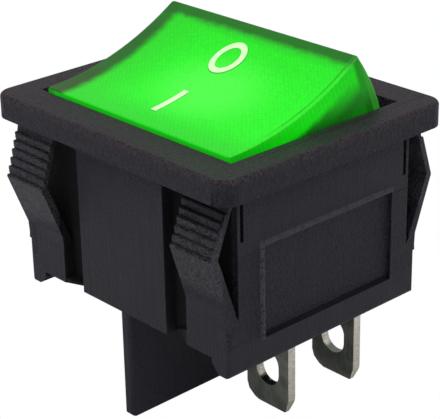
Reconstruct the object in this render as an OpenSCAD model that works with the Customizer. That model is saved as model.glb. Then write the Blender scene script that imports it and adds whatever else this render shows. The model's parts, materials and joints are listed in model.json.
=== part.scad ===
// Illuminated double-pole panel rocker switch with a square snap-in housing.
// Frame: origin in the plane of the panel face, at the centre of the cut-out.
// +Z points out of the panel, X runs along the rocker's pivot, and the rocker
// tips along Y. The rocker is drawn pressed towards -Y, its "I" side.

/* [Bezel] */
// Size of the bezel along the pivot
bezel_w = 27; // [26.6:0.1:28]
// Size of the bezel along the tipping direction
bezel_l = 23.6; // [23.2:0.1:25]
// Height of the bezel above the panel
bezel_t = 2.0; // [1.8:0.1:2.4]
// Corner radius of the bezel seen from above
bezel_r = 1.5; // [1:0.1:2.5]
// Rounding of the bezel's upper edge
edge_r = 0.35; // [0.2:0.05:0.6]

/* [Body] */
// Size of the body along the pivot
body_w = 24; // [23.8:0.1:24.6]
// Size of the body along the tipping direction, over the middle pads
body_l = 20.5; // [20.3:0.1:21]
// Depth from the panel to the underside of the floor
body_h = 13.4; // [13:0.1:15]
// How much lower the two end walls reach than the floor
foot_h = 1.2; // [0.5:0.1:1.5]
// Thickness of the floor
floor_t = 1.6; // [1.2:0.1:2]

/* [Snap latches] */
// Width of each latch
latch_w = 4.6; // [4:0.1:5.4]
// How far the knee of a latch stands out of the body
latch_out = 1.55; // [1.2:0.05:1.8]
// Number of grip teeth on a latch
latch_teeth = 5; // [4:1:6]
// How far each tooth stands out past the one above it
tooth_d = 0.24; // [0.2:0.01:0.26]

/* [Rocker] */
// Tilt of the rocker on either side of level, degrees
tilt = 17.5; // [16.5:0.5:17.5]
// Height of the pivot, below the panel face
pivot_z = -1.5; // [-1.6:0.05:-1.4]
// Radius of the pivot pins
pin_r = 1.2; // [1:0.05:1.3]
// Radial clearance of the pivot pins
pin_gap = 0.05; // [0.02:0.01:0.08]
// Radius of the dished top of the rocker
dish_r = 25.2; // [22:0.2:32]
// Wall thickness of the lens
lens_wall = 1.1; // [0.9:0.1:1.3]

/* [Contacts] */
// Width of a tab
tab_w = 4.8; // [4.6:0.1:5]
// Thickness of a tab
tab_t = 0.8; // [0.7:0.05:0.85]
// Depth of the tab tips below the panel face
tab_tip = 23.5; // [20:0.5:26]
// Distance of a pole from the middle
pole_x = 5.9; // [5.8:0.1:6]
// Distance of the load tab's near face from the pivot
load_y = 7.28; // [7.1:0.02:7.3]
// Tilt of a contact blade on either side of level, degrees
blade_tilt = 6; // [5:0.5:6]
// Thickness of a contact blade
blade_t = 0.4; // [0.3:0.05:0.4]
// Depth of the barrier between the poles
barrier_tip = 22.7; // [20:0.1:24]

/* [Hidden] */
$fn = 96;
e = 0.01;

core_l = 18.4;                 // body between the backs of the latch bays
cav_w = 22.1;                  // cavity along the pivot
cav_l = 16.7;                  // cavity along the tipping direction
mouth_l = 17.6;                // mouth of the cavity
bay_x = 5.05;                  // inner end of a latch bay
latch_x = body_w / 2 - latch_w;  // inner edge of a latch
knee_z = -4.65;
bend_z = -9.3;
latch_top = -0.45;
barrier_t = 1.08;
seat_z = -9.5;                 // knife edge the blade rocks on
blade_a0 = 20;                 // slope of the blade's middle
blade_y1 = 3.0;
blade_y2 = 7.2;
contact_h = 0.5;
plunger_r = 1.0;
plunger_reach = 6.267;         // pivot to centre of the plunger's round tip
tube_r = 1.06;
lens_bot = 0.4;                // lower rim of the lens, above the pivot
lens_mid = 5.18;               // height of the dish's middle above the pivot
dish_z = lens_mid + dish_r;
lens_hx = 10.5;                // half length of the lens at its top
lens_hx0 = 10.88;              // and at the bezel
lamp_x = 1.2;
shelf_z = seat_z + 0.772 - contact_h - 0.02 - 0.6;

// ---------- helpers ----------
module mirx() { children(); mirror([1, 0, 0]) children(); }
module miry() { children(); mirror([0, 1, 0]) children(); }
// moves a shape drawn about the level pivot to the pressed position
module at_rocker() { translate([0, 0, pivot_z]) rotate([tilt, 0, 0]) children(); }
module at_blade(s) { translate([s * pole_x, 0, seat_z]) rotate([-blade_tilt, 0, 0]) children(); }
// extrudes a (y, z) outline along X between x0 and x1
module along_x(x0, x1) { translate([x0, 0, 0]) rotate([90, 0, 90]) linear_extrude(height = x1 - x0) children(); }
// extrudes an (x, z) outline along Y between y0 and y1
module along_y(y0, y1) { translate([0, y1, 0]) rotate([90, 0, 0]) linear_extrude(height = y1 - y0) children(); }
module block(x0, x1, y0, y1, z0, z1) { translate([x0, y0, z0]) cube([x1 - x0, y1 - y0, z1 - z0]); }
module plan(w, l, r) {
    union() {
        square([w - 2 * r, l], center = true);
        square([w, l - 2 * r], center = true);
        for (sx = [-1, 1], sy = [-1, 1]) translate([sx * (w / 2 - r), sy * (l / 2 - r)]) circle(r = r);
    }
}
// slab with rounded corners, and a rounded upper edge
module round_slab(w, l, r, z0, z1, er) {
    translate([0, 0, z0]) linear_extrude(height = z1 - er - z0) plan(w, l, r);
    translate([0, 0, z1 - er - 0.5]) linear_extrude(height = er + 0.5) plan(w - 2 * er, l - 2 * er, r - er);
    for (s = [-1, 1]) {
        translate([-(w / 2 - r), s * (l / 2 - er), z1 - er]) rotate([0, 90, 0]) cylinder(r = er, h = w - 2 * r);
        translate([s * (w / 2 - er), l / 2 - r, z1 - er]) rotate([90, 0, 0]) cylinder(r = er, h = l - 2 * r);
    }
    for (sx = [-1, 1], sy = [-1, 1])
        translate([sx * (w / 2 - r), sy * (l / 2 - r), z1 - er])
            rotate([0, 0, sx > 0 ? (sy > 0 ? 0 : -90) : (sy > 0 ? 90 : 180)])
                rotate_extrude(angle = 90) translate([r - er, 0]) circle(r = er);
}
// round wire wound from z0 to z1, as a closed tube
function ring(i, n, turns, r, z0, z1) = let (a = 360 * turns * i / n) [r * cos(a), r * sin(a), z0 + (z1 - z0) * i / n];
module coil(r, wire, z0, z1, turns, sides = 6, per = 8) {
    n = turns * per;
    pts = [for (i = [0:n]) let (c = ring(i, n, turns, r, z0, z1), a = 360 * turns * i / n)
        for (k = [0:sides - 1]) let (b = 360 * k / sides)
            [c[0] + wire * cos(b) * cos(a), c[1] + wire * cos(b) * sin(a), c[2] + wire * sin(b)]];
    sidesf = [for (i = [0:n - 1]) for (k = [0:sides - 1]) let (k2 = (k + 1) % sides)
        each [[i * sides + k, (i + 1) * sides + k, (i + 1) * sides + k2], [i * sides + k, (i + 1) * sides + k2, i * sides + k2]]];
    cap0 = [[for (k = [0:sides - 1]) k]];
    cap1 = [[for (k = [sides - 1:-1:0]) n * sides + k]];
    polyhedron(points = pts, faces = concat(sidesf, cap0, cap1), convexity = 8);
}

// ---------- housing ----------
// one snap latch, drawn as (distance from the middle, height)
knee_y = body_l / 2 + latch_out;
tooth_z0 = -1.22;
tooth_p = (abs(knee_z) - 0.1 + tooth_z0) / latch_teeth;
function face_y(i) = knee_y - tooth_d * (latch_teeth - i);
function face_z(i) = tooth_z0 - tooth_p * i;
root_y = body_l / 2 - 0.4;       // a latch springs about its root
root_z = bend_z - 0.8;
latch_back = [[knee_y, knee_z - 0.07], [body_l / 2, bend_z], [body_l / 2 - 0.02, root_z - 0.1], [body_l / 2 - 0.75, root_z - 0.1],
     [body_l / 2 - 0.72, bend_z], [knee_y - 0.53, -4.5], [body_l / 2 - 0.48, latch_top], [face_y(0) - 0.42, latch_top], [face_y(0) - 0.25, face_z(0)]];
// each tooth is a ledge, an upright face and a small relief at its foot
latch_outline = concat(
    [for (i = [0:latch_teeth - 1])
        each [[face_y(i) - 0.06, face_z(i)], [face_y(i), face_z(i) - 0.08], [face_y(i), face_z(i + 1) + 0.1], [face_y(i) - 0.07, face_z(i + 1)]]],
    [[knee_y - 0.06, face_z(latch_teeth)], [knee_y, face_z(latch_teeth) - 0.08]],
    latch_back);
cheek_outline = concat([[face_y(0) - 0.02, face_z(0)], [knee_y, face_z(latch_teeth) - 0.04]], latch_back);
// swing is how far, in degrees, this latch is sprung towards the body
module latch(swing, cheek, web) {
    along_x(latch_x, body_w / 2) polygon([[body_l / 2 - 0.08, bend_z - 0.3], [body_l / 2, root_z - 0.6], [body_l / 2, -body_h], [core_l / 2 - 0.3, -body_h], [core_l / 2 - 0.3, root_z - 0.3], [body_l / 2 - 0.78, bend_z - 0.3]]);
    // web that braces the foot of the latch against the core
    intersection() {
        translate([0, 0, -body_h]) linear_extrude(height = web)
            polygon([[bay_x - 0.1, core_l / 2 - 0.2], [bay_x - 0.1, core_l / 2], [latch_x + 0.1, body_l / 2 - 0.02], [latch_x + 0.3, body_l / 2 - 0.02], [latch_x + 0.3, core_l / 2 - 0.2]]);
        along_y(core_l / 2 - 1, body_l / 2 + 1) polygon([[bay_x - 0.3, -body_h - 1], [bay_x - 0.3, -body_h + 0.05], [latch_x + 0.1, -body_h + web - 0.01], [latch_x + 1, -body_h + web - 0.01], [latch_x + 1, -body_h - 1]]);
    }
    translate([0, root_y, root_z]) rotate([swing, 0, 0]) translate([0, -root_y, -root_z]) {
        along_x(latch_x, body_w / 2) polygon(latch_outline);
        // plain cheek that closes the outer end of the teeth
        if (cheek) along_x(body_w / 2 - 0.2, body_w / 2) polygon(cheek_outline);
    }
}

label = [-6.62, 7.36, -12.42, -4.78];  // sunk label field: y, y, z, z
rim_w = 0.52;
rim_h = 0.16;
module end_wall_trim() {
    w = body_w / 2;
    // rim along two sides of the label field, sloping to the wall and mitred
    module side_rim(z0, z1) {
        translate([0, 0, z0]) linear_extrude(height = z1 - z0)
            polygon([[w - 0.3, label[0] - rim_w], [w, label[0] - rim_w], [w + rim_h, label[0] - 0.15], [w + rim_h, label[0] + 0.02], [w - 0.3, label[0] + 0.02]]);
    }
    module top_rim(y0, y1) {
        along_y(y0, y1)
            polygon([[w - 0.3, label[3] + rim_w], [w, label[3] + rim_w], [w + rim_h, label[3] + 0.15], [w + rim_h, label[3] - 0.02], [w - 0.3, label[3] - 0.02]]);
    }
    side_rim(label[2], label[3]);
    top_rim(label[0], label[1]);
    intersection() {
        side_rim(label[3] - 0.02, label[3] + rim_w + 0.1);
        top_rim(label[0] - rim_w - 0.1, label[0] + 0.02);
    }
}
module housing() {
    color([0.09, 0.09, 0.1])
    difference() {
        union() {
            round_slab(bezel_w, bezel_l, bezel_r, 0, bezel_t, edge_r);
            // core box and middle pads
            block(-body_w / 2, body_w / 2, -core_l / 2, core_l / 2, -body_h, 0.5);
            block(-bay_x, bay_x, -body_l / 2, body_l / 2, -body_h, 0.5);
            // end walls' feet
            mirx() along_y(-body_l / 2, body_l / 2)
                polygon([[body_w / 2, -body_h + 0.5], [body_w / 2, -body_h - foot_h + 0.35], [body_w / 2 - 0.1, -body_h - foot_h + 0.1], [body_w / 2 - 0.35, -body_h - foot_h],
                         [body_w / 2 - 1.1, -body_h - foot_h], [body_w / 2 - 1.2, -body_h - foot_h + 0.06],
                         [body_w / 2 - 1.85, -body_h - 0.4], [body_w / 2 - 1.85, -body_h + 0.5]]);
            mirror([0, 1, 0]) latch(1.5, true, 1.3);
            latch(-2, true, 0.4);
            mirror([1, 0, 0]) mirror([0, 1, 0]) latch(-2.4, false, 0.4);
            mirror([1, 0, 0]) latch(-1, false, 1.3);
            mirx() end_wall_trim();
            // barrier between the poles, with a rounded nose
            intersection() {
                translate([0, 0, -barrier_tip - 1]) linear_extrude(height = barrier_tip + 1 - body_h + 0.4)
                    polygon([for (q = [0:3]) for (a = [90 * q:15:90 * q + 90])
                        [(q == 0 || q == 3 ? 1 : -1) * (barrier_t / 2 - 0.34) + 0.34 * cos(a), (q < 2 ? 1 : -1) * (body_l / 2 - 0.34) + 0.34 * sin(a)]]);
                along_x(-barrier_t, barrier_t) polygon([[-body_l / 2 - 0.3, -body_h + 1], [-body_l / 2 - 0.3, -barrier_tip + 0.6], [-body_l / 2 + 0.09, -barrier_tip + 0.09], [-body_l / 2 + 0.3, -barrier_tip],
                    [body_l / 2 - 0.3, -barrier_tip], [body_l / 2 - 0.09, -barrier_tip + 0.09], [body_l / 2 + 0.3, -barrier_tip + 0.6], [body_l / 2 + 0.3, -body_h + 1]]);
            }
        }
        // rounded corners low on the end walls
        mirx() miry() translate([body_w / 2 - 0.3, body_l / 2 - 0.3, -body_h - foot_h - 1]) linear_extrude(height = body_h + foot_h + 1 + root_z - 0.7)
            polygon(concat([[1, 0]], [for (a = [0:18:90]) [0.3 * cos(a), 0.3 * sin(a)]], [[0, 1], [1, 1]]));
        // cavity, narrower below the mouth
        along_x(-cav_w / 2, cav_w / 2)
            polygon([[-mouth_l / 2, bezel_t + 1], [-mouth_l / 2, 0.9], [-cav_l / 2, -1.6], [-cav_l / 2, -body_h + floor_t],
                     [cav_l / 2, -body_h + floor_t], [cav_l / 2, -1.6], [mouth_l / 2, 0.9], [mouth_l / 2, bezel_t + 1]]);
        // sunk label fields
        mirx() block(body_w / 2 - 0.3, body_w / 2 + 1, label[0], label[1], label[2], label[3]);
        // sockets for the pivot pins
        mirx() translate([cav_w / 2 - 0.5, 0, pivot_z]) rotate([0, 90, 0]) cylinder(r = pin_r + pin_gap, h = 0.5 + 0.62);
        // thin slots beside the corners of the end walls
        mirx() miry() block(body_w / 2 - 0.5, body_w / 2 + 1, 8.6, 8.92, -3.85, -0.35);
        // slots for the tabs
        for (s = [-1, 1], y = [0, load_y + tab_t / 2])
            block(s * pole_x - tab_w / 2 - 0.03, s * pole_x + tab_w / 2 + 0.03, y - tab_t / 2 - 0.03, y + tab_t / 2 + 0.03, -body_h - 1, -body_h + floor_t + 1);
    }
    // wall between the poles, and rests for the open ends of the blades
    color([0.09, 0.09, 0.1]) {
        block(-0.5, 0.5, -cav_l / 2 - 0.3, cav_l / 2 + 0.3, -body_h + floor_t - 0.3, -5.2);
        for (s = [-1, 1]) block(s * pole_x - 1.5, s * pole_x + 1.5, -7.3, -5.7, -body_h + floor_t - 0.3, seat_z + 0.772 - 0.03);
    }
}

// ---------- rocker ----------
module rocker_lens() {
    color([0.1, 0.9, 0.15, 0.8])
    at_rocker() difference() {
        intersection() {
            along_x(-12, 12) polygon([[-7.84, lens_bot], [-7.84, 1.6], [-7.7, 3.4], [-7.42, 4.9], [-7.04, 6.3], [7.04, 6.3], [7.42, 4.9], [7.7, 3.4], [7.84, 1.6], [7.84, lens_bot]]);
            along_y(-9, 9) polygon([[-lens_hx0, 0], [-lens_hx0, 2], [-lens_hx + 0.02, 6.4], [lens_hx - 0.02, 6.4], [lens_hx0, 2], [lens_hx0, 0]]);
        }
        // dished top
        translate([-15, 0, dish_z]) rotate([0, 90, 0]) cylinder(r = dish_r, h = 30, $fn = 360);
        // hollow underside
        difference() {
            along_x(-lens_hx + lens_wall - 0.3, lens_hx - lens_wall + 0.3) polygon([[-7.84 + lens_wall, 0], [-7.84 + lens_wall, 1.6], [-7.7 + lens_wall, 3.4], [-7.04 + lens_wall, 6.3], [7.04 - lens_wall, 6.3], [7.7 - lens_wall, 3.4], [7.84 - lens_wall, 1.6], [7.84 - lens_wall, 0]]);
            translate([-15, 0, dish_z]) rotate([0, 90, 0]) cylinder(r = dish_r + 1.15, h = 30, $fn = 360);
        }
        // notches over the pivot bosses
        mirx() translate([lens_hx - 1.5, 0, 0]) rotate([0, 90, 0]) cylinder(r = 1.75, h = 3);
    }
}
module rocker_frame() {
    color([0.13, 0.13, 0.14])
    at_rocker() difference() {
        union() {
            block(-9.65, 9.65, -6.45, 6.45, -0.4, 1.0);
            block(-10.7, 10.7, -7.6, 7.6, -0.45, lens_bot);
            mirx() {
                translate([9, 0, 0]) rotate([0, 90, 0]) cylinder(r = 1.7, h = 1.85);
                translate([9, 0, 0]) rotate([0, 90, 0]) cylinder(r = pin_r, h = 2.6);
            }
            for (s = [-1, 1]) translate([s * pole_x, 0, -5]) cylinder(r = 1.75, h = 5.5);
            // webs that stiffen the tubes
            for (s = [-1, 1]) block(s * pole_x - 0.4, s * pole_x + 0.4, -3.4, 3.4, -2.2, 0);
        }
        // bed for the lamp
        block(lamp_x - 4.2, lamp_x + 4.2, -1.95, 1.95, -1, 2);
        // holes for the lamp's wires
        for (s = [-1, 1]) translate([s * wire_x, wire_y, -1]) cylinder(r = 0.24, h = 3, $fn = 32);
        // lightening pockets
        for (s = [-1, 1], t = [-1, 1]) block(s * pole_x - 2.3, s * pole_x + 2.3, t * 4.6 - 0.8, t * 4.6 + 0.8, 0.4, 2);
        // bores for the plungers
        for (s = [-1, 1]) translate([s * pole_x, 0, -6]) cylinder(r = tube_r, h = 6.4);
    }
}
module lamp_reflector() {
    color([0.93, 0.93, 0.9])
    at_rocker() difference() {
        block(-9.4, 9.4, -6.25, 6.25, 1.0, 1.4);
        block(lamp_x - 4.2, lamp_x + 4.2, -1.95, 1.95, 0, 2);
        for (s = [-1, 1]) translate([s * wire_x, wire_y, 0]) cylinder(r = 0.24, h = 3, $fn = 32);
        // opening for the resistor
        block(lamp_x - 3.4, lamp_x + 3.4, 3.6, 5.8, 0, 2);
        // notches round the pivot bosses
        mirx() block(8.95, 10, -1.5, 1.5, 0, 2);
    }
}
// marks printed on the dish
module on_dish(h = 0.05) {
    at_rocker() intersection() {
        translate([0, 0, 4.5]) linear_extrude(height = 2.2) children();
        difference() {
            translate([-4, 0, dish_z]) rotate([0, 90, 0]) cylinder(r = dish_r, h = 8, $fn = 360);
            translate([-5, 0, dish_z]) rotate([0, 90, 0]) cylinder(r = dish_r - h, h = 10, $fn = 360);
        }
    }
}
module mark_on() { color([0.95, 1, 0.88]) on_dish() translate([-0.17, -3.15]) square([0.5, 3.45], center = true); }
module mark_off() {
    color([0.95, 1, 0.88]) on_dish() translate([-0.18, 3.27]) difference() {
        polygon([for (a = [0:7.5:352.5]) [1.42 * cos(a), 1.8 * sin(a)]]);
        polygon([for (a = [0:7.5:352.5]) [0.95 * cos(a), 1.26 * sin(a)]]);
    }
}

// ---------- lamp ----------
module lamp_glass() {
    color([0.8, 1, 0.8, 0.4])
    at_rocker() translate([lamp_x, 0, 1.65]) rotate([0, 90, 0]) difference() {
        rotate_extrude() polygon(concat([[0, -4], [1.6, -4], [1.9, -3.7]], [for (a = [0:10:90]) [1.9 * cos(a), 2.1 + 1.9 * sin(a)]]));
        rotate_extrude() polygon(concat([[0, -3.2], [1.55, -3.2]], [for (a = [0:10:90]) [1.55 * cos(a), 2.1 + 1.55 * sin(a)]]));
        // holes the electrodes are sealed into
        for (s = [-1, 1]) translate([0, s * 0.6, -5]) cylinder(r = 0.25, h = 2, $fn = 32);
    }
}
module lamp_electrode(s) {
    color([0.7, 0.7, 0.68])
    at_rocker() translate([lamp_x, 0, 1.65]) rotate([0, 90, 0]) translate([0, s * 0.6, -4.15]) cylinder(r = 0.25, h = 5.6, $fn = 32);
}
module lamp_electrode_a() { lamp_electrode(1); }
module lamp_electrode_b() { lamp_electrode(-1); }
module lamp_resistor() {
    color([0.75, 0.65, 0.45])
    at_rocker() translate([lamp_x - 3.1, 4.7, 2.0]) rotate([0, 90, 0]) rotate_extrude()
        polygon([[0, 0], [0.3, 0], [0.3, 0.6], [0.85, 0.75], [0.95, 1.0], [0.95, 1.9], [0.8, 2.2], [0.8, 4.0], [0.95, 4.3], [0.95, 5.2], [0.85, 5.45], [0.3, 5.6], [0.3, 6.2], [0, 6.2]]);
}
// bent round wire, swept along a line whose corners are rounded
wire_r = 0.18;
wire_x = 9.0;
wire_y = 6.0;
function unit(v) = v / norm(v);
function lerp(a, b, t) = a + (b - a) * t;
// each inner corner becomes a short curve of five points
function rounded(p, r) = concat([p[0]],
    [for (i = [1:len(p) - 2]) let (a = p[i] - unit(p[i] - p[i - 1]) * r, b = p[i] + unit(p[i + 1] - p[i]) * r)
        each [for (t = [0:0.25:1]) lerp(lerp(a, p[i], t), lerp(p[i], b, t), t)]],
    [p[len(p) - 1]]);
function along(p, i) = unit(i == 0 ? p[1] - p[0] : i == len(p) - 1 ? p[i] - p[i - 1] : unit(p[i + 1] - p[i]) + unit(p[i] - p[i - 1]));
module wire(corners, side, sides = 8) {
    p = rounded(corners, 0.3);
    n = len(p) - 1;
    pts = [for (i = [0:n]) let (t = along(p, i), u = unit(cross(side, t)), v = cross(t, u))
        for (k = [0:sides - 1]) p[i] + wire_r * (cos(360 * k / sides) * u + sin(360 * k / sides) * v)];
    walls = [for (i = [0:n - 1]) for (k = [0:sides - 1]) let (k2 = (k + 1) % sides)
        each [[i * sides + k, (i + 1) * sides + k, (i + 1) * sides + k2], [i * sides + k, (i + 1) * sides + k2, i * sides + k2]]];
    polyhedron(points = pts, faces = concat(walls, [[for (k = [0:sides - 1]) k]], [[for (k = [sides - 1:-1:0]) n * sides + k]]), convexity = 6);
}
lead_x = lamp_x - 4.15;
module lamp_wire_a() { color([0.7, 0.7, 0.68]) at_rocker() wire([[lamp_x + 3.1, 4.7, 2.0], [lamp_x + 4.2, 4.7, 2.0], [8.0, wire_y, 1.7], [wire_x, wire_y, 1.7], [wire_x, wire_y, -0.45]], [0, 1, 0]); }
module lamp_wire_b() { color([0.7, 0.7, 0.68]) at_rocker() wire([[lead_x, -0.6, 1.65], [lead_x - 0.8, -0.6, 1.65], [-8.0, wire_y, 1.7], [-wire_x, wire_y, 1.7], [-wire_x, wire_y, -0.45]], [0, 1, 0]); }
module lamp_wire_c() { color([0.7, 0.7, 0.68]) at_rocker() wire([[lead_x, 0.6, 1.65], [lead_x - 0.7, 0.6, 1.65], [lead_x - 0.7, 4.7, 2.0], [lamp_x - 3.1, 4.7, 2.0]], [0, 0, 1]); }

// contact pads under the raised side of the rocker, and the springs that feed them
pad_y = 6.73;
spring_y = 6.6;
spring_x = 9.45;
module lamp_pad(s) {
    color([0.78, 0.6, 0.3])
    at_rocker() translate([s * spring_x, pad_y - 0.15, -0.65]) union() {
        translate([-1.1, -1, 0]) cube([2.2, 1.8, 0.2]);
    }
}
module lamp_pad_a() { lamp_pad(1); }
module lamp_pad_b() { lamp_pad(-1); }
module lamp_spring(s) {
    color([0.75, 0.75, 0.76])
    translate([s * spring_x, spring_y, 0]) coil(0.72, 0.15, shelf_z + 0.16, -0.39, 8);
}
module lamp_spring_a() { lamp_spring(1); }
module lamp_spring_b() { lamp_spring(-1); }

// ---------- plungers ----------
module plunger(s) {
    color([0.9, 0.9, 0.86])
    at_rocker() translate([s * pole_x, 0, -plunger_reach]) difference() {
        union() {
            sphere(r = plunger_r);
            cylinder(r = plunger_r, h = 3.0);
        }
        translate([0, 0, 1.5]) cylinder(r = 0.72, h = 3);
    }
}
module plunger_a() { plunger(1); }
module plunger_b() { plunger(-1); }
module plunger_spring(s) {
    color([0.75, 0.75, 0.76])
    at_rocker() translate([s * pole_x, 0, 0]) coil(0.5, 0.12, -plunger_reach + 1.63, 0.27, 8);
}
module plunger_spring_a() { plunger_spring(1); }
module plunger_spring_b() { plunger_spring(-1); }

// ---------- contacts ----------
function blade_z(y) = y < blade_y1 ? y * tan(blade_a0) : blade_y1 * tan(blade_a0) + (y - blade_y1) * tan(blade_tilt);
blade_side = [[blade_y1, blade_z(blade_y1)], [blade_y2, blade_z(blade_y2)],
     [blade_y2 - blade_t * sin(blade_tilt), blade_z(blade_y2) + blade_t * cos(blade_tilt)],
     [blade_y1 - blade_t * tan((blade_a0 + blade_tilt) / 2), blade_z(blade_y1) + blade_t]];
blade_outline = concat([[0, 0]], blade_side, [[0, blade_t / cos(blade_a0)]],
    [for (i = [3:-1:0]) [-blade_side[i][0], blade_side[i][1]]]);
module blade(s) {
    color([0.85, 0.6, 0.4])
    at_blade(s) difference() {
        along_x(-2.3, 2.3) polygon(blade_outline);
        // waist between the ears of the seat
        for (t = [-1, 1]) block(t > 0 ? 1.85 : -3, t > 0 ? 3 : -1.85, -1, 1, -1, 2);
    }
}
module blade_a() { blade(1); }
module blade_b() { blade(-1); }
module moving_contact(s) {
    color([0.9, 0.9, 0.88])
    translate([s * pole_x, 6.2, seat_z + 0.772 - contact_h]) union() {
        cylinder(r1 = 1.15, r2 = 1.3, h = 0.2, $fn = 64);
        translate([0, 0, 0.2]) cylinder(r = 1.3, h = contact_h - 0.2, $fn = 64);
    }
}
module moving_contact_a() { moving_contact(1); }
module moving_contact_b() { moving_contact(-1); }

// outline of a tab below the floor, drawn as (x, z) about the pole
module tab_face(top) {
    difference() {
        union() {
            polygon([[-tab_w / 2, top], [-tab_w / 2, -tab_tip + 1.5], [-tab_w / 2 + 0.22, -tab_tip + 0.85], [-tab_w / 2 + 0.65, -tab_tip + 0.25], [-tab_w / 2 + 1.1, -tab_tip],
                     [tab_w / 2 - 0.7, -tab_tip], [tab_w / 2 - 0.5, -tab_tip + 0.12], [tab_w / 2 - 0.04, -tab_tip + 1.2], [tab_w / 2, -tab_tip + 1.45], [tab_w / 2, top]]);
        }
        for (z = [-tab_tip + 3.35, -tab_tip + 4.0]) translate([0, z]) circle(r = 1.27, $fn = 64);
        translate([-1.27, -tab_tip + 3.35]) square([2.54, 0.65]);
    }
}
// lead-in along the lower edge of a tab
module tab_lead(y0) {
    along_x(-6, 6) polygon([[y0 - e, -tab_tip - 1], [y0 + 0.24, -tab_tip - e], [y0 - e, -tab_tip + 0.9], [y0 - 2, -tab_tip + 0.9], [y0 - 2, -tab_tip - 1]]);
}
module common_tab(s) {
    color([0.72, 0.72, 0.7])
    translate([s * pole_x, 0, 0]) difference() {
        union() {
            along_y(-tab_t / 2, tab_t / 2) tab_face(seat_z - 0.01);
            for (t = [-1, 1]) block(t > 0 ? 1.95 : -tab_w / 2, t > 0 ? tab_w / 2 : -1.95, -tab_t / 2, tab_t / 2, seat_z - 1, -8.4);
        }
        tab_lead(-tab_t / 2);
        mirror([0, 1, 0]) tab_lead(-tab_t / 2);
    }
}
module common_tab_a() { common_tab(1); }
module common_tab_b() { common_tab(-1); }
module load_tab(s) {
    color([0.72, 0.72, 0.7])
    translate([s * pole_x, 0, 0]) difference() {
        union() {
            translate([0, load_y, 0]) along_y(0, tab_t) tab_face(shelf_z - 0.4);
            // shelf that carries the fixed contact and the lamp spring
            along_x(-tab_w / 2, tab_w / 2) polygon([[4.9, shelf_z - tab_t], [load_y + 0.1, shelf_z - tab_t], [load_y + tab_t, shelf_z - tab_t - 0.1],
                [load_y + tab_t, shelf_z - 0.35], [load_y + tab_t - 0.35, shelf_z], [4.9, shelf_z]]);
            mirror([s > 0 ? 0 : 1, 0, 0]) block(tab_w / 2 - 0.2, tab_w / 2 + 2.2, 5.6, load_y + 0.4, shelf_z - tab_t, shelf_z);
        }
        // hole for the rivet of the fixed contact
        translate([0, 6.2, shelf_z - 2]) cylinder(r = 0.7, h = 3, $fn = 48);
        translate([0, load_y, 0]) tab_lead(0);
        translate([0, load_y + tab_t, 0]) mirror([0, 1, 0]) tab_lead(0);
    }
}
module load_tab_a() { load_tab(1); }
module load_tab_b() { load_tab(-1); }
module fixed_contact(s) {
    color([0.92, 0.92, 0.9])
    translate([s * pole_x, 6.2, shelf_z]) union() {
        cylinder(r = 1.35, h = 0.45, $fn = 64);
        translate([0, 0, 0.45]) cylinder(r1 = 1.35, r2 = 1.15, h = 0.15, $fn = 64);
        translate([0, 0, -tab_t - 0.15]) cylinder(r = 0.7, h = tab_t + 0.2, $fn = 48);
    }
}
module fixed_contact_a() { fixed_contact(1); }
module fixed_contact_b() { fixed_contact(-1); }

housing();
rocker_lens();
rocker_frame();
lamp_reflector();
mark_on();
mark_off();
lamp_glass();
lamp_electrode_a();
lamp_electrode_b();
lamp_resistor();
lamp_wire_a();
lamp_wire_b();
lamp_wire_c();
lamp_pad_a();
lamp_pad_b();
lamp_spring_a();
lamp_spring_b();
plunger_a();
plunger_b();
plunger_spring_a();
plunger_spring_b();
blade_a();
blade_b();
moving_contact_a();
moving_contact_b();
common_tab_a();
common_tab_b();
load_tab_a();
load_tab_b();
fixed_contact_a();
fixed_contact_b();
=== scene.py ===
import bpy, json, math
import numpy as np
from mathutils import Matrix, Vector


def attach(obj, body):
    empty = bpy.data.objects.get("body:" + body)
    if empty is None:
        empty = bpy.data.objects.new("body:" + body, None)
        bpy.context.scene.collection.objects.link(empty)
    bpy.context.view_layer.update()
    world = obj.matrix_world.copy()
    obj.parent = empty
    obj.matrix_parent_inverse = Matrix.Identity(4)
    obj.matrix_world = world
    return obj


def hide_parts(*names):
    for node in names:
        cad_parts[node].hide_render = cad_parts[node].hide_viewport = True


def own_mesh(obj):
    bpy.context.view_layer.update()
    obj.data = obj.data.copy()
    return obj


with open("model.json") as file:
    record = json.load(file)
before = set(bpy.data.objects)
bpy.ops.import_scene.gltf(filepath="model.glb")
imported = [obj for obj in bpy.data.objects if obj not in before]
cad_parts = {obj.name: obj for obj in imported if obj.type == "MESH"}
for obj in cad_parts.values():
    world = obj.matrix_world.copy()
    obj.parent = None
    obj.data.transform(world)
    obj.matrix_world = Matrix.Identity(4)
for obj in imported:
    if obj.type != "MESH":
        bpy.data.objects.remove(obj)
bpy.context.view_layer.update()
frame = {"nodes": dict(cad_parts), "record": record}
nodes = frame["nodes"]
scene = bpy.context.scene
MM = 0.001

# ------------------------------------------------------------------ camera
FOCAL_PX, CX, CY = 1616.391, 221.083, 209.534
AZ, EL, ROLL = math.radians(47.563), math.radians(24.022), math.radians(-1.167)
DX, DY, DIST = 0.33, -7.13, 127.472
back = Vector((math.sin(AZ) * math.cos(EL), -math.cos(AZ) * math.cos(EL), math.sin(EL)))
right = Vector((math.cos(AZ), math.sin(AZ), 0.0))
up = back.cross(right)
r2 = right * math.cos(ROLL) + up * math.sin(ROLL)
u2 = up * math.cos(ROLL) - right * math.sin(ROLL)
place = (r2 * DX + u2 * DY + back * DIST) * MM
cam_data = bpy.data.cameras.new("view_camera")
cam = bpy.data.objects.new("view_camera", cam_data)
scene.collection.objects.link(cam)
cam.matrix_world = Matrix((
    (r2.x, u2.x, back.x, place.x),
    (r2.y, u2.y, back.y, place.y),
    (r2.z, u2.z, back.z, place.z),
    (0, 0, 0, 1)))
cam_data.sensor_fit = "AUTO"
cam_data.sensor_width = 36.0
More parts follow.
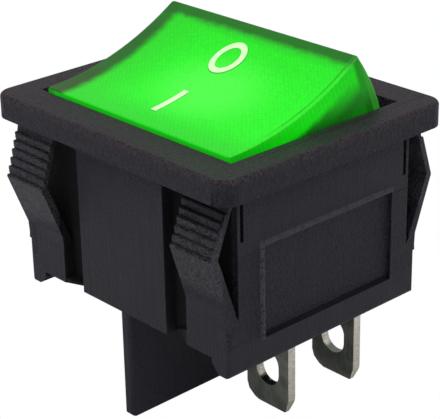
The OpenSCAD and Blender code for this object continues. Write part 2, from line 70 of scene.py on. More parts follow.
cam_data.lens = FOCAL_PX * 36.0 / 440.0
cam_data.shift_x = (220.0 - CX) / 440.0
cam_data.shift_y = (CY - 209.5) / 440.0
cam_data.clip_start, cam_data.clip_end = 0.01, 10.0
scene.camera = cam

# ------------------------------------------------------------------ node helpers
class Mat:
    """A small builder for one procedural Principled material."""

    def __init__(self, name):
        self.m = bpy.data.materials.new(name)
        self.m.use_nodes = True
        self.nt = self.m.node_tree
        self.nt.nodes.clear()
        self.out = self.nt.nodes.new("ShaderNodeOutputMaterial")
        self.bsdf = self.nt.nodes.new("ShaderNodeBsdfPrincipled")
        self.nt.links.new(self.bsdf.outputs[0], self.out.inputs[0])

    def put(self, socket, value):
        if hasattr(value, "is_linked") or isinstance(value, bpy.types.NodeSocket):
            self.nt.links.new(value, socket)
        else:
            socket.default_value = value
        return socket

    def set(self, **kw):
        for k, v in kw.items():
            self.put(self.bsdf.inputs[k.replace("_", " ")], v)
        return self

    def coords(self, scale=1000.0, rot=(0, 0, 0), loc=(0, 0, 0)):
        tc = self.nt.nodes.new("ShaderNodeTexCoord")
        mp = self.nt.nodes.new("ShaderNodeMapping")
        sc = (scale,) * 3 if not hasattr(scale, "__len__") else scale
        mp.inputs["Scale"].default_value = sc
        mp.inputs["Rotation"].default_value = rot
        mp.inputs["Location"].default_value = loc
        self.nt.links.new(tc.outputs["Object"], mp.inputs["Vector"])
        return mp.outputs[0]

    def stretch(self, vec, scale):
        n = self.nt.nodes.new("ShaderNodeVectorMath")
        n.operation = "MULTIPLY"
        self.nt.links.new(vec, n.inputs[0])
        n.inputs[1].default_value = scale
        return n.outputs[0]

    def split(self, vec):
        n = self.nt.nodes.new("ShaderNodeSeparateXYZ")
        self.nt.links.new(vec, n.inputs[0])
        return n.outputs[0], n.outputs[1], n.outputs[2]

    def math(self, op, a, b=None, c=None, clamp=False):
        n = self.nt.nodes.new("ShaderNodeMath")
        n.operation = op
        n.use_clamp = clamp
        self.put(n.inputs[0], a)
        if b is not None:
            self.put(n.inputs[1], b)
        if c is not None:
            self.put(n.inputs[2], c)
        return n.outputs[0]

    def step(self, v, lo, hi, a=0.0, b=1.0):
        """smooth step of v from a at lo to b at hi"""
        n = self.nt.nodes.new("ShaderNodeMapRange")
        n.interpolation_type = "SMOOTHSTEP"
        self.put(n.inputs["Value"], v)
        n.inputs["From Min"].default_value = lo
        n.inputs["From Max"].default_value = hi
        n.inputs["To Min"].default_value = a
        n.inputs["To Max"].default_value = b
        return n.outputs["Result"]

    def line(self, v, lo, hi, a=0.0, b=1.0, clamp=True):
        n = self.nt.nodes.new("ShaderNodeMapRange")
        n.clamp = clamp
        self.put(n.inputs["Value"], v)
        n.inputs["From Min"].default_value = lo
        n.inputs["From Max"].default_value = hi
        n.inputs["To Min"].default_value = a
        n.inputs["To Max"].default_value = b
        return n.outputs["Result"]

    def noise(self, vec, scale, detail=3.0, rough=0.5, distort=0.0):
        n = self.nt.nodes.new("ShaderNodeTexNoise")
        self.nt.links.new(vec, n.inputs["Vector"])
        n.inputs["Scale"].default_value = scale
        n.inputs["Detail"].default_value = detail
        n.inputs["Roughness"].default_value = rough
        n.inputs["Distortion"].default_value = distort
        return n.outputs["Fac"]

    def voronoi(self, vec, scale, feature="F1"):
        n = self.nt.nodes.new("ShaderNodeTexVoronoi")
        n.feature = feature
        self.nt.links.new(vec, n.inputs["Vector"])
        n.inputs["Scale"].default_value = scale
        return n.outputs["Distance"]

    def mix(self, fac, a, b):
        n = self.nt.nodes.new("ShaderNodeMix")
        n.data_type = "RGBA"
        self.put(n.inputs["Factor"], fac)
        self.put(n.inputs["A"], a if not isinstance(a, tuple) or len(a) == 4 else (*a, 1.0))
        self.put(n.inputs["B"], b if not isinstance(b, tuple) or len(b) == 4 else (*b, 1.0))
        return n.outputs["Result"]

    def tint(self, colour, amount):
        """colour times a grey number"""
        n = self.nt.nodes.new("ShaderNodeVectorMath")
        n.operation = "SCALE"
        self.put(n.inputs[0], colour if not isinstance(colour, tuple) else colour[:3])
        self.put(n.inputs["Scale"], amount)
        return n.outputs[0]

    def bump(self, height, strength=0.3, distance=0.0001, normal=None):
        n = self.nt.nodes.new("ShaderNodeBump")
        n.inputs["Strength"].default_value = strength
        n.inputs["Distance"].default_value = distance
        self.nt.links.new(height, n.inputs["Height"])
        if normal is not None:
            self.nt.links.new(normal, n.inputs["Normal"])
        return n.outputs[0]


def srgb(r, g, b):
    def f(c):
        c /= 255.0
        return c / 12.92 if c <= 0.04045 else ((c + 0.055) / 1.055) ** 2.4
    return (f(r), f(g), f(b))


def give(obj, mat):
    m = mat.m if isinstance(mat, Mat) else mat
    if not obj.material_slots:
        obj.data.materials.append(m)
    for s in obj.material_slots:
        s.material = m


# ------------------------------------------------------------------ materials
def housing_material():
    m = Mat("housing_pa66")
    v = m.coords()
    x, y, z = m.split(v)
    ax = m.math("ABSOLUTE", x)
    ay = m.math("ABSOLUTE", y)
    fine = m.noise(v, 7.0, 2.0, 0.65)
    coarse = m.noise(v, 3.4, 2.0, 0.6)
    cloud = m.noise(v, 0.35, 3.0, 0.5)
    # drawn streaks down the walls, left by the tool
    streak = m.noise(m.stretch(v, (3.2, 3.2, 0.10)), 1.0, 3.0, 0.6)
    body = m.step(z, -0.3, 0.05, 1.0, 0.0)
    rim = m.step(z, -3.6, -0.5)
    label = m.math("MULTIPLY", m.step(ax, 11.0, 11.5), m.math("MULTIPLY", m.step(z, -12.3, -12.1), m.step(z, -5.1, -4.9, 1.0, 0.0)))
    knee = m.math("MULTIPLY", m.step(ay, 10.3, 10.45), m.step(z, -9.4, -9.1))
    rough_zone = m.math("MAXIMUM", m.math("MAXIMUM", rim, label), knee)
    amp = m.line(rough_zone, 0.0, 1.0, 0.55, 1.45)
    grit = m.math("ADD", m.line(fine, 0.36, 0.64, -0.75, 0.75), m.line(coarse, 0.36, 0.64, -0.25, 0.25))
    tone = m.math("ADD", m.line(cloud, 0.3, 0.7, 0.90, 1.10), m.math("MULTIPLY", grit, amp))
    tone = m.math("ADD", tone, m.math("MULTIPLY", body, m.line(streak, 0.3, 0.7, -0.20, 0.20)))
    tone = m.math("MAXIMUM", tone, 0.04)
    # painted shade: the latch bays are darkened in colour to stand for the shade inside them, and they are also made
    # matt
    bay_shade_and_matt = m.math("MULTIPLY", m.math("MULTIPLY", m.step(ax, 4.9, 5.1), m.step(ax, 11.3, 11.5, 1.0, 0.0)), m.math("MULTIPLY", m.step(ay, 10.0, 10.15, 1.0, 0.0), body))
    tone = m.math("MULTIPLY", tone, m.line(bay_shade_and_matt, 0.0, 1.0, 1.0, 0.15))
    # painted light: above z 1.2–1.9 mm the bezel gets a lighter base colour with extra red and blue, to offset the
    # green light the lens throws on it
    base = m.mix(m.step(z, 1.2, 1.9), (0.0122, 0.0128, 0.0218, 1.0), (0.0315, 0.0250, 0.0330, 1.0))
    # painted highlight: the raised rim of the label field is given a lighter colour; painted shadow: a thin dark line
    # at the inner foot of the rim
    rim_highlight = m.math("MULTIPLY", m.step(ax, 12.02, 12.08), m.step(z, -4.1, -3.9, 1.0, 0.0))
    base = m.mix(rim_highlight, base, (0.046, 0.047, 0.058, 1.0))
    near_rim = m.math("MAXIMUM", m.step(y, -6.50, -6.42, 1.0, 0.0), m.step(z, -4.98, -4.90))
    shadow = m.math("MULTIPLY", m.math("MULTIPLY", m.step(ax, 11.6, 11.65), m.step(ax, 11.72, 11.76, 1.0, 0.0)), m.math("MULTIPLY", near_rim, m.step(y, -6.7, -6.64)))
    base = m.mix(shadow, base, (0.001, 0.001, 0.002, 1.0))
    # painted reflection: the latch faces below the knee get a lighter colour, standing in for the pale floor they
    # mirror
    knee_floor_reflection = m.math("MULTIPLY", m.math("MULTIPLY", knee, body), m.step(ay, 10.45, 10.9))
    base = m.mix(knee_floor_reflection, base, (0.0400, 0.0410, 0.0500, 1.0))
    m.set(Base_Color=m.tint(base, tone))
    gloss = m.line(m.math("ADD", fine, m.math("MULTIPLY", cloud, 0.5)), 0.5, 1.0, 0.36, 0.58)
    m.set(Roughness=m.math("ADD", gloss, m.math("MULTIPLY", bay_shade_and_matt, 0.35)))
    m.bsdf.inputs["Specular IOR Level"].default_value = 0.38
    # moulded grain, deepest on the bezel and just under it
    grain = m.math("ADD", m.math("MULTIPLY", coarse, 0.8), m.math("MULTIPLY", fine, 0.7))
    grain = m.math("MULTIPLY", grain, amp)
    grain = m.math("ADD", grain, m.math("MULTIPLY", m.math("MULTIPLY", body, streak), 0.30))
    m.set(Normal=m.bump(grain, 1.0, 0.00017))
    return m


def plastic(name, colour, rough=0.5, spec=0.5, grain=6.0, depth=0.00003, vary=0.12):
    m = Mat(name)
    v = m.coords()
    fine = m.noise(v, grain, 3.0, 0.6)
    cloud = m.noise(v, 0.5, 2.0, 0.5)
    tone = m.math("ADD", m.line(cloud, 0.3, 0.7, 1 - vary, 1 + vary), m.line(fine, 0.3, 0.7, -0.05, 0.05))
    m.set(Base_Color=m.tint(colour, tone), Roughness=m.line(fine, 0.3, 0.7, rough - 0.07, rough + 0.07))
    m.bsdf.inputs["Specular IOR Level"].default_value = spec
    m.set(Normal=m.bump(fine, 0.3, depth))
    return m


def metal(name, colour, dull, rough=0.3, streak=(1, 1, 0.08), grain=12.0, vary=0.2):
    m = Mat(name)
    v = m.coords()
    lines = m.noise(m.stretch(v, streak), grain, 3.0, 0.6)
    cloud = m.noise(v, 0.45, 4.0, 0.6)
    spots = m.noise(v, 3.0, 4.0, 0.65)
    stain = m.step(m.math("ADD", m.math("MULTIPLY", cloud, 0.7), m.math("MULTIPLY", spots, 0.3)), 0.42, 0.66)
    tone = m.math("ADD", 1.0, m.line(lines, 0.3, 0.7, -vary * 0.5, vary * 0.5))
    m.set(Base_Color=m.tint(m.mix(stain, colour, dull), tone))
    m.bsdf.inputs["Metallic"].default_value = 1.0
    m.set(Roughness=m.math("ADD", m.line(lines, 0.3, 0.7, rough - 0.08, rough + 0.08), m.math("MULTIPLY", stain, 0.12)))
    m.set(Normal=m.bump(lines, 0.25, 0.00001))
    return m


def tab_material():
    m = Mat("tab_plated")
    v = m.coords()
    tc = m.nt.nodes.new("ShaderNodeTexCoord")
    nx, ny, nz = m.split(tc.outputs["Normal"])
    edge = m.step(m.math("ABSOLUTE", nx), 0.55, 0.85)
    lines = m.noise(m.stretch(v, (1.0, 1.0, 0.07)), 9.0, 3.0, 0.6)
    cloud = m.noise(v, 0.5, 4.0, 0.6)
    shear = m.noise(m.stretch(v, (1.0, 0.25, 1.0)), 7.0, 3.0, 0.6)
    face = m.mix(m.step(cloud, 0.38, 0.64), (0.36, 0.39, 0.34), (0.22, 0.245, 0.20))
    sheared = m.mix(m.step(shear, 0.35, 0.65), (0.98, 0.96, 0.82), (0.76, 0.75, 0.61))
    tone = m.math("ADD", 1.0, m.line(lines, 0.3, 0.7, -0.10, 0.10))
    m.set(Base_Color=m.tint(m.mix(edge, face, sheared), tone))
    m.bsdf.inputs["Metallic"].default_value = 1.0
    m.set(Roughness=m.math("ADD", m.line(lines, 0.3, 0.7, 0.20, 0.32), m.math("MULTIPLY", edge, 0.12)))
    m.set(Normal=m.bump(m.math("ADD", lines, m.math("MULTIPLY", edge, shear)), 0.25, 0.000015))
    return m


TILT = math.radians(17.5)


def lens_material():
    m = Mat("lens_lit_green")

    def glow(r, g, b):
        # the shell's own gloss adds a little grey on top of this
        return tuple(max(0.001, c - o) for c, o in zip(srgb(r, g, b), (0.034, 0.024, 0.034))) + (1.0,)

    # coordinates about the level rocker, in millimetres
    v = m.coords(1000.0, (-TILT, 0, 0), (0, 1.5 * math.sin(TILT), 1.5 * math.cos(TILT)))
    x, y, z = m.split(v)
    wob = m.line(m.noise(v, 0.9, 2.0, 0.5), 0.3, 0.7, -0.10, 0.10)
    dish = m.math("SUBTRACT", 30.38, m.math("SQRT", m.math("SUBTRACT", 25.2 ** 2, m.math("MULTIPLY", y, y))))
    depth = m.math("SUBTRACT", dish, z)
    wall = m.step(depth, 0.05, 0.14)
    # the lit part of the top
    xs = m.math("ADD", x, wob)
    ys = m.math("ADD", y, wob)
    dx = m.math("DIVIDE", m.math("SUBTRACT", x, 1.5), 5.8)
    dy = m.math("DIVIDE", m.math("ADD", y, 0.4), 4.4)
    rr = m.math("SQRT", m.math("ADD", m.math("MULTIPLY", dx, dx), m.math("MULTIPLY", dy, dy)))
    hot = m.step(rr, 0.2, 1.25, 1.0, 0.0)
    field = m.mix(m.step(y, -6.9, -3.0), glow(52, 219, 47), glow(50, 246, 46))
    field = m.mix(m.step(y, -3.0, 1.0), field, glow(50, 247, 48))
    field = m.mix(m.step(y, 1.0, 5.0), field, glow(50, 236, 51))
    field = m.mix(m.step(y, 5.0, 5.8), field, glow(53, 216, 53))
    field = m.mix(m.math("MULTIPLY", m.step(x, -9.0, -2.6, 1.0, 0.0), 0.9), field, glow(55, 216, 52))
    field = m.mix(hot, field, glow(86, 255, 81))
    # the walls seen through the top stay unlit along two sides
    left = m.step(m.math("ADD", xs, m.math("MULTIPLY", y, 0.04)), -9.35, -8.15, 1.0, 0.0)
    tint_left = m.mix(m.step(y, -3.6, -1.4), glow(59, 87, 53), glow(52, 103, 44))
    tint_left = m.mix(m.step(y, 4.0, 5.4), tint_left, glow(52, 116, 45))
    field = m.mix(left, field, tint_left)
    rear = m.mix(m.step(ys, 5.95, 6.35), glow(54, 168, 50), glow(52, 115, 46))
    field = m.mix(m.step(ys, 5.62, 6.12), field, m.mix(left, rear, glow(49, 104, 43)))
    # painted highlight: a light line along the top edge at the +X end, with a dark line just inside it
    wide = m.math("SUBTRACT", 10.88 + 2.0 * 0.0909, m.math("MULTIPLY", z, 0.0909))
    e1 = m.math("SUBTRACT", wide, m.math("ABSOLUTE", x))
    part = m.math("MULTIPLY", m.step(x, 5.0, 9.0), m.line(m.noise(v, 0.5, 2.0, 0.5), 0.3, 0.7, 0.55, 1.0))
    hair = m.math("MULTIPLY", m.step(e1, 0.20, 0.28), m.step(e1, 0.32, 0.46, 1.0, 0.0))
    field = m.mix(m.math("MULTIPLY", m.math("MULTIPLY", hair, part), m.step(y, -5.0, -1.0)), field, glow(44, 168, 40))
    field = m.mix(m.math("MULTIPLY", m.math("MULTIPLY", m.step(e1, 0.08, 0.16, 1.0, 0.0), part), 0.8), field, m.mix(m.step(y, 4.5, 6.6), glow(70, 232, 62), glow(92, 176, 82)))
    # moulded dot field under the surface
    gx = m.math("SINE", m.math("MULTIPLY", x, 2 * math.pi / 0.42))
    gy = m.math("SINE", m.math("MULTIPLY", y, 2 * math.pi / 0.42))
    dots = m.math("MULTIPLY", gx, gy)
    speck = m.noise(v, 3.2, 2.0, 0.6)
    tex = m.math("ADD", m.math("MULTIPLY", dots, 0.05), m.line(speck, 0.25, 0.75, -0.085, 0.085))

    # soft dark line that the printed marks throw down and to the right
    def shade(cx, cy, ax, ay, inside):
        qx = m.math("DIVIDE", m.math("SUBTRACT", x, cx), ax)
        qy = m.math("DIVIDE", m.math("SUBTRACT", y, cy), ay)
        q = m.math("SQRT", m.math("ADD", m.math("MULTIPLY", qx, qx), m.math("MULTIPLY", qy, qy)))
        return m.step(q, 0.98, 1.07, 0.0, 1.0) if inside else m.step(q, 0.98, 1.07, 1.0, 0.0)

    ring = m.math("MULTIPLY", shade(-0.10, 3.19, 1.42, 1.80, False), shade(-0.10, 3.19, 0.95, 1.26, True))
    bar_x = m.math("MULTIPLY", m.step(x, -0.40, -0.34), m.step(x, 0.14, 0.22, 1.0, 0.0))
    bar_y = m.math("MULTIPLY", m.step(y, -5.02, -4.96), m.step(y, -1.52, -1.46, 1.0, 0.0))
    cast = m.math("MAXIMUM", ring, m.math("MULTIPLY", bar_x, bar_y))
    field = m.mix(m.math("MULTIPLY", cast, 0.75), field, glow(40, 150, 34))
    # walls: a bright band as deep as the top is thick, then a fade
    near = m.step(y, 0.0, 7.2)
    low = m.mix(near, glow(18, 60, 10), glow(26, 118, 18))
    mid = m.mix(near, glow(24, 96, 16), glow(42, 196, 40))
    under = m.mix(m.step(depth, 1.4, 2.9, 1.0, 0.0), low, mid)
    band = m.step(m.math("ADD", depth, m.math("MULTIPLY", wob, 1.2)), 1.0, 1.75, 1.0, 0.0)
    side = m.mix(band, under, m.mix(m.step(y, 2.0, 5.5), m.mix(m.step(y, -7.0, 1.0), glow(26, 166, 10), glow(34, 212, 14)), glow(38, 206, 24)))
    # painted highlight: a light line along the top edge of the end walls
    side = m.mix(m.math("MULTIPLY", m.step(e1, 0.0, 0.05, 1.0, 0.0), m.step(depth, 0.08, 0.16, 1.0, 0.0)), side, glow(70, 226, 60))
    olive = m.mix(m.step(depth, 2.2, 4.2), glow(42, 140, 32), glow(24, 98, 14))
    side = m.mix(m.math("MULTIPLY", m.step(y, 6.15, 6.5), m.step(z, 0.0, 0.5)), side, olive)
    # painted highlight: a faint light line down the rear corner of the end walls
    side = m.mix(m.math("MULTIPLY", m.math("MULTIPLY", m.step(e1, 0.06, 0.16, 1.0, 0.0), m.step(y, 6.9, 7.1)), 0.35), side, glow(80, 168, 70))
    front = m.mix(m.step(depth, 0.5, 2.4), glow(24, 176, 11), glow(20, 118, 12))
    side = m.mix(m.step(y, -6.95, -6.75, 1.0, 0.0), side, front)
    farx = m.step(x, -9.9, -9.3, 1.0, 0.0)
    side = m.mix(m.math("MULTIPLY", farx, 0.55), side, glow(34, 116, 28))
    glowing = m.mix(wall, field, side)
    m.set(Emission_Color=m.tint(glowing, m.math("ADD", 0.98, tex)))
    m.bsdf.inputs["Emission Strength"].default_value = 1.0
    base = m.mix(wall, (0.016, 0.045, 0.013), (0.005, 0.025, 0.004))
    m.set(Base_Color=m.tint(base, m.math("ADD", 1.0, tex)))
    m.set(Roughness=m.line(speck, 0.3, 0.7, 0.30, 0.42))
    m.bsdf.inputs["Specular IOR Level"].default_value = 0.28
    m.set(Normal=m.bump(m.noise(v, 2.4, 2.0, 0.5), 0.15, 0.00004))
    return m


def marks_material():
    m = Mat("mark_ink_backlit")
    v = m.coords()
    speck = m.noise(v, 7.0, 3.0, 0.6)
    tone = m.line(speck, 0.3, 0.7, 0.93, 1.03)
    m.set(Base_Color=m.tint((0.30, 0.40, 0.24), tone))
    # painted light: the ink is given a pale emission, standing in for the lamp light shining through the lens behind it
    m.set(Emission_Color=m.tint(srgb(205, 244, 182), tone))
    m.bsdf.inputs["Emission Strength"].default_value = 0.92
    m.set(Roughness=m.line(speck, 0.3, 0.7, 0.35, 0.5), Normal=m.bump(speck, 0.2, 0.00002))
    return m


def glass_material():
    m = Mat("lamp_glass")
    v = m.coords()
    speck = m.noise(v, 2.0, 2.0, 0.5)
    m.set(Base_Color=m.mix(speck, (0.72, 0.95, 0.74), (0.82, 0.98, 0.84)))
    m.set(Roughness=m.line(speck, 0.3, 0.7, 0.02, 0.08), Normal=m.bump(speck, 0.1, 0.00003))
    m.bsdf.inputs["Transmission Weight"].default_value = 0.9
    return m


M = {
    "housing": housing_material(),
    "lens": lens_material(),
    "marks": marks_material(),
    "carrier": plastic("carrier_pa66", (0.018, 0.018, 0.02), 0.5, 0.45),
    "reflector": plastic("reflector_white", (0.80, 0.80, 0.76), 0.35, 0.5, 5.0, 0.00002, 0.05),
    "plunger": plastic("plunger_nylon", (0.74, 0.72, 0.64), 0.42, 0.5, 5.0, 0.00002, 0.08),
    "resistor": plastic("resistor_body", (0.52, 0.38, 0.17), 0.3, 0.5, 4.0, 0.00003, 0.15),
    "lamp_glass": glass_material(),
    "wire": metal("tinned_wire", (0.60, 0.60, 0.57), (0.45, 0.44, 0.40), 0.28, (1, 1, 1)),
    "pad_metal": metal("pad_brass", (0.72, 0.52, 0.24), (0.50, 0.34, 0.15), 0.32),
    "spring_steel": metal("spring_steel", (0.58, 0.58, 0.58), (0.42, 0.41, 0.40), 0.25, (1, 1, 1)),
    "blade_metal": metal("blade_copper", (0.80, 0.47, 0.30), (0.52, 0.28, 0.17), 0.3, (0.08, 1, 1)),
    "contact_silver": metal("contact_silver", (0.86, 0.85, 0.82), (0.62, 0.60, 0.55), 0.22, (1, 1, 1), 6.0),
    "tab_metal": tab_material(),
}
slot_of = {s["node"]: s["material_slot"] for s in frame["record"]["subparts"]}
for name, obj in nodes.items():
    give(obj, M[slot_of[name]])


# ------------------------------------------------------------------ softened edges on the CAD mouldings and stampings
def soften(obj, width, segments=2, angle=0.55):
    w = obj.modifiers.new("weld", "WELD")
    w.merge_threshold = 2e-6
    d = obj.modifiers.new("flats", "DECIMATE")
    d.decimate_type = "DISSOLVE"
    d.angle_limit = 0.0087
    b = obj.modifiers.new("edges", "BEVEL")
    b.width = width
    b.segments = segments
    b.limit_method = "ANGLE"
    b.angle_limit = angle
    b.use_clamp_overlap = True
    n = obj.modifiers.new("shade", "WEIGHTED_NORMAL")
    n.keep_sharp = False
    n.weight = 80


soften(nodes["housing"], 0.11 * MM, 3)
soften(nodes["rocker_frame"], 0.06 * MM)
for k in ("common_tab_a", "common_tab_b", "load_tab_a", "load_tab_b"):
    soften(nodes[k], 0.05 * MM)
for k in ("blade_a", "blade_b"):
    soften(nodes[k], 0.04 * MM)


# ------------------------------------------------------------------ mesh helpers
def new_piece(name, verts, faces, mat, smooth=True):
    me = bpy.data.meshes.new(name)
    me.from_pydata([tuple(v) for v in verts], [], faces)
    me.validate()
    me.update()
    o = bpy.data.objects.new(name, me)
    scene.collection.objects.link(o)
    me.materials.append(mat.m)
    if smooth:
        me.polygons.foreach_set("use_smooth", [True] * len(me.polygons))
    return o


def from_rocker(p):
    """a point about the level pivot, in mm, to the row frame in metres"""
    x, y, z = p
    c, s = math.cos(TILT), math.sin(TILT)
    return (x * MM, (y * c - z * s) * MM, (-1.5 + y * s + z * c) * MM)


# ------------------------------------------------------------------ lens
DISH_R, DISH_MID = 25.2, 5.18


def dish(y, drop=0.0):
    r = DISH_R + drop
    return DISH_MID + DISH_R - math.sqrt(r * r - y * y)


def interp(t, pts):
    for (a, va), (b, vb) in zip(pts, pts[1:]):
        if t <= b:
            k = min(1.0, max(0.0, (t - a) / (b - a)))
            return va + (vb - va) * k
    return pts[-1][1]


def half_x(z):
    return interp(z, [(0.0, 10.88), (2.0, 10.88), (6.4, 10.48)])


def half_y(z):
    return interp(z, [(0.4, 7.84), (1.6, 7.84), (3.4, 7.7), (4.9, 7.42), (6.3, 7.04)])


def outline(n_side_x, n_side_y, n_arc):
    """Rounded rectangle as (sx, sy, ax, ay): a point is (sx*(hx-r) + r*ax, sy*(hy-r) + r*ay), with the straight runs in between."""
    out = []
    quads = [(1, -1, -90), (1, 1, 0), (-1, 1, 90), (-1, -1, 180)]
    for q, (sx, sy, a0) in enumerate(quads):
        for i in range(n_arc + 1):
            a = math.radians(a0 + 90 * i / n_arc)
            out.append((sx, sy, math.cos(a), math.sin(a)))
        nsx, nsy = quads[(q + 1) % 4][:2]
        n = n_side_y if nsx == sx else n_side_x
        for i in range(1, n):
            t = i / n
            a = math.radians(a0 + 90)
            out.append((sx + (nsx - sx) * t, sy + (nsy - sy) * t, math.cos(a), math.sin(a)))
    return out


def lens_mesh():
    ring = outline(44, 64, 8)
    n = len(ring)
    rc_out, rf = 0.30, 0.12
    notch = 1.75

    def pt(s, hx, hy, r):
        sx, sy, ax, ay = s
        return sx * (hx - r) + r * ax, sy * (hy - r) + r * ay

    rows = []
    # outside wall, from the lower rim up to the fillet
    n_wall = 14
    cols = []
    for s in ring:
        ztop = 6.0
        for _ in range(6):
            x, y = pt(s, half_x(ztop), half_y(ztop), rc_out)
            ztop = dish(max(-7.2, min(7.2, y))) - rf
        x0, y0 = pt(s, half_x(0.4), half_y(0.4), rc_out)
        zbot = 0.4
        if abs(x0) > 9.0 and abs(y0) < notch:
            zbot = max(0.4, math.sqrt(max(0.0, notch * notch - y0 * y0)))
        cols.append((zbot, ztop))
    for k in range(n_wall + 1):
        row = []
        for s, (zb, zt) in zip(ring, cols):
            z = zb + (zt - zb) * k / n_wall
            x, y = pt(s, half_x(z), half_y(z), rc_out)
            row.append((x, y, z))
        rows.append(row)
    # fillet and first offsets of the dished top
    for j in range(1, 6):
        a = math.radians(90 * j / 5)
        d = rf * (1 - math.cos(a))
        lift = rf * (math.sin(a) - 1)
        row = []
        for s, (zb, zt) in zip(ring, cols):
            zr = zt + rf
            hx, hy = half_x(zr) - d, half_y(zr) - d
            x, y = pt(s, hx, hy, max(0.15, rc_out - d))
            row.append((x, y, dish(y) + lift))
        rows.append(row)
    last = rows[-1]
    n_in = 30
    for j in range(1, n_in):
        k = 1 - j / n_in
        k = k if j > 1 else 1 - 0.5 / n_in
        rows.append([(x * k, y * k, dish(y * k)) for x, y, z in last])
    verts, faces = [], []

    def add_rows(rows, flip):
        base = len(verts)
        for row in rows:
            verts.extend(row)
        for r in range(len(rows) - 1):
            for i in range(n):
                a, b = base + r * n + i, base + r * n + (i + 1) % n
                c, d = a + n, b + n
                faces.append((a, c, d, b) if flip else (a, b, d, c))
        return base

    b0 = add_rows(rows, False)
    centre = len(verts)
    verts.append((0, 0, dish(0)))
    top = b0 + (len(rows) - 1) * n
    for i in range(n):
        faces.append((top + i, top + (i + 1) % n, centre))
    # inside of the shell
    inner = []
    ci = []
    for s, (zb, zt) in zip(ring, cols):
        z2 = 5.0
        for _ in range(6):
            x, y = pt(s, 9.7, half_y(z2) - 1.1, 0.3)
            z2 = DISH_MID + DISH_R - math.sqrt((DISH_R + 1.15) ** 2 - y * y)
        ci.append((zb, z2))
    for k in range(7):
        row = []
        for s, (zb, zt) in zip(ring, ci):
            z = zb + (zt - zb) * k / 6
            x, y = pt(s, 9.7, half_y(z) - 1.1, 0.3)
            row.append((x, y, z))
        inner.append(row)
    lasti = inner[-1]
    for j in range(1, 12):
        k = 1 - j / 12
        inner.append([(x * k, y * k, DISH_MID + DISH_R - math.sqrt((DISH_R + 1.15) ** 2 - (y * k) ** 2)) for x, y, z in lasti])
    b1 = add_rows(inner, True)
    centre = len(verts)
    verts.append((0, 0, DISH_MID - 1.15))
    top = b1 + (len(inner) - 1) * n
    for i in range(n):
        faces.append((top + (i + 1) % n, top + i, centre))
    # lower rim joins the two
    for i in range(n):
        a, b = b0 + i, b0 + (i + 1) % n
        c, d = b1 + i, b1 + (i + 1) % n
        faces.append((a, c, d, b))
    return [from_rocker(v) for v in verts], faces


lv, lf = lens_mesh()
lens = new_piece("rocker_lens_shell", lv, lf, M["lens"])
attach(lens, "rocker")
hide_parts("rocker_lens")


# ------------------------------------------------------------------ coil springs
def coil(name, radius, wire, z0, z1, turns, place, mat, closed=0.75, sides=12, per=28):
    """Compression spring with closed ends; place maps a point of the spring to the row frame."""
    n = int(turns * per)
    centre = []
    for i in range(n + 1):
        t = i / n * turns
        # the end coils lie close together, and the rest share the height
        def climb(t):
            if t < closed:
                return 2.05 * wire * t
            if t > turns - closed:
                return (z1 - z0) - 2 * wire - 2.05 * wire * (turns - t)
            lo, hi = 2.05 * wire * closed, (z1 - z0) - 2 * wire - 2.05 * wire * closed
            return lo + (hi - lo) * (t - closed) / (turns - 2 * closed)
        a = 2 * math.pi * t
        centre.append(Vector((radius * math.cos(a), radius * math.sin(a), z0 + wire + climb(t))))
    verts, faces = [], []
    for i, c in enumerate(centre):
        tan = (centre[min(n, i + 1)] - centre[max(0, i - 1)]).normalized()
        rad = Vector((c.x, c.y, 0)).normalized()
        rad = (rad - tan * rad.dot(tan)).normalized()
        bi = tan.cross(rad)
        for k in range(sides):
            b = 2 * math.pi * k / sides
            verts.append(place(c + (rad * math.cos(b) + bi * math.sin(b)) * wire))
    for i in range(n):
        for k in range(sides):
            k2 = (k + 1) % sides
            faces.append((i * sides + k, i * sides + k2, (i + 1) * sides + k2, (i + 1) * sides + k))
    faces.append(tuple(range(sides - 1, -1, -1)))
    faces.append(tuple(n * sides + k for k in range(sides)))
    return new_piece(name, verts, faces, mat)


SHELF = -9.5 + 0.772 - 0.5 - 0.02 - 0.6
for tag, s in (("a", 1), ("b", -1)):
    o = coil("lamp_coil_" + tag, 0.72, 0.15, SHELF + 0.01, -0.42, 8,
             lambda p, s=s: ((p.x + s * 9.45) * MM, (p.y + 6.6) * MM, p.z * MM), M["spring_steel"])
    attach(o, "housing")
    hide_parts("lamp_spring_" + tag)
    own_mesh(o)
    o = coil("plunger_coil_" + tag, 0.5, 0.12, -6.267 + 1.51, 0.39, 8,
             lambda p, s=s: from_rocker((p.x + s * 5.9, p.y, p.z)), M["spring_steel"])
    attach(o, "rocker")
    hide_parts("plunger_spring_" + tag)
    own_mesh(o)

# ------------------------------------------------------------------ stage
FLOOR_Z = -24.2 * MM


def by_ray(nt, seen, unseen):
    """white to the camera; what glossy plastic and metal reflect is dimmer, as in a tent with dark surroundings"""
    lp = nt.nodes.new("ShaderNodeLightPath")
    mx = nt.nodes.new("ShaderNodeMixShader")
    nt.links.new(lp.outputs["Is Camera Ray"], mx.inputs[0])
    nt.links.new(unseen, mx.inputs[1])
    nt.links.new(seen, mx.inputs[2])
    return mx.outputs[0]


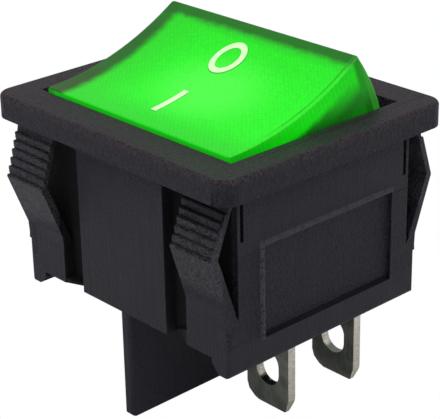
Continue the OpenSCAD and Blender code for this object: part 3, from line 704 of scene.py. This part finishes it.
fm = Mat("pale_floor")
fv = fm.coords(1000.0)
fx, fy, fz = fm.split(fv)
fm.set(Base_Color=fm.tint((0.80, 0.80, 0.80), fm.line(fm.noise(fv, 0.02, 2.0, 0.5), 0.3, 0.7, 0.98, 1.02)))
fm.bsdf.inputs["Roughness"].default_value = 0.9
fm.bsdf.inputs["Specular IOR Level"].default_value = 0.0
white = fm.nt.nodes.new("ShaderNodeEmission")
white.inputs["Color"].default_value = (1.0, 1.0, 1.0, 1.0)
fm.nt.links.new(by_ray(fm.nt, white.outputs[0], fm.bsdf.outputs[0]), fm.out.inputs[0])
me = bpy.data.meshes.new("floor")
me.from_pydata([(-3, -3, FLOOR_Z), (3, -3, FLOOR_Z), (3, 3, FLOOR_Z), (-3, 3, FLOOR_Z)], [], [(0, 1, 2, 3)])
floor = bpy.data.objects.new("floor", me)
scene.collection.objects.link(floor)
me.materials.append(fm.m)

world = bpy.data.worlds.new("studio")
scene.world = world
world.use_nodes = True
wn = world.node_tree
wn.nodes.clear()
w_out = wn.nodes.new("ShaderNodeOutputWorld")
w_seen = wn.nodes.new("ShaderNodeBackground")
w_seen.inputs["Color"].default_value = (1.0, 1.0, 1.0, 1.0)
w_tent = wn.nodes.new("ShaderNodeBackground")
tc = wn.nodes.new("ShaderNodeTexCoord")
sep = wn.nodes.new("ShaderNodeSeparateXYZ")
wn.links.new(tc.outputs["Generated"], sep.inputs[0])
ramp = wn.nodes.new("ShaderNodeMapRange")
ramp.inputs["From Min"].default_value = -0.1
ramp.inputs["From Max"].default_value = 0.9
ramp.inputs["To Min"].default_value = 0.32
ramp.inputs["To Max"].default_value = 0.60
w_tent.inputs["Color"].default_value = (1.0, 0.95, 1.0, 1.0)
wn.links.new(sep.outputs["Z"], ramp.inputs["Value"])
wn.links.new(ramp.outputs["Result"], w_tent.inputs["Strength"])
wn.links.new(by_ray(wn, w_seen.outputs[0], w_tent.outputs[0]), w_out.inputs[0])


def area(name, az, el, dist, size, power, colour=(1, 1, 1), aim=(0, 0, -8)):
    ld = bpy.data.lights.new(name, "AREA")
    ld.shape = "SQUARE"
    ld.size = size
    ld.energy = power
    ld.color = colour
    lo = bpy.data.objects.new(name, ld)
    scene.collection.objects.link(lo)
    a, e = math.radians(az), math.radians(el)
    d = Vector((math.sin(a) * math.cos(e), -math.cos(a) * math.cos(e), math.sin(e)))
    target = Vector(aim) * MM
    lo.location = target + d * dist
    lo.rotation_mode = "QUATERNION"
    lo.rotation_quaternion = d.to_track_quat("Z", "Y")
    return lo


area("key", 10, 62, 0.45, 0.30, 0.35)
area("fill", 120, 40, 0.5, 0.35, 0.15)

scene.view_settings.view_transform = "Standard"
scene.view_settings.look = "None"
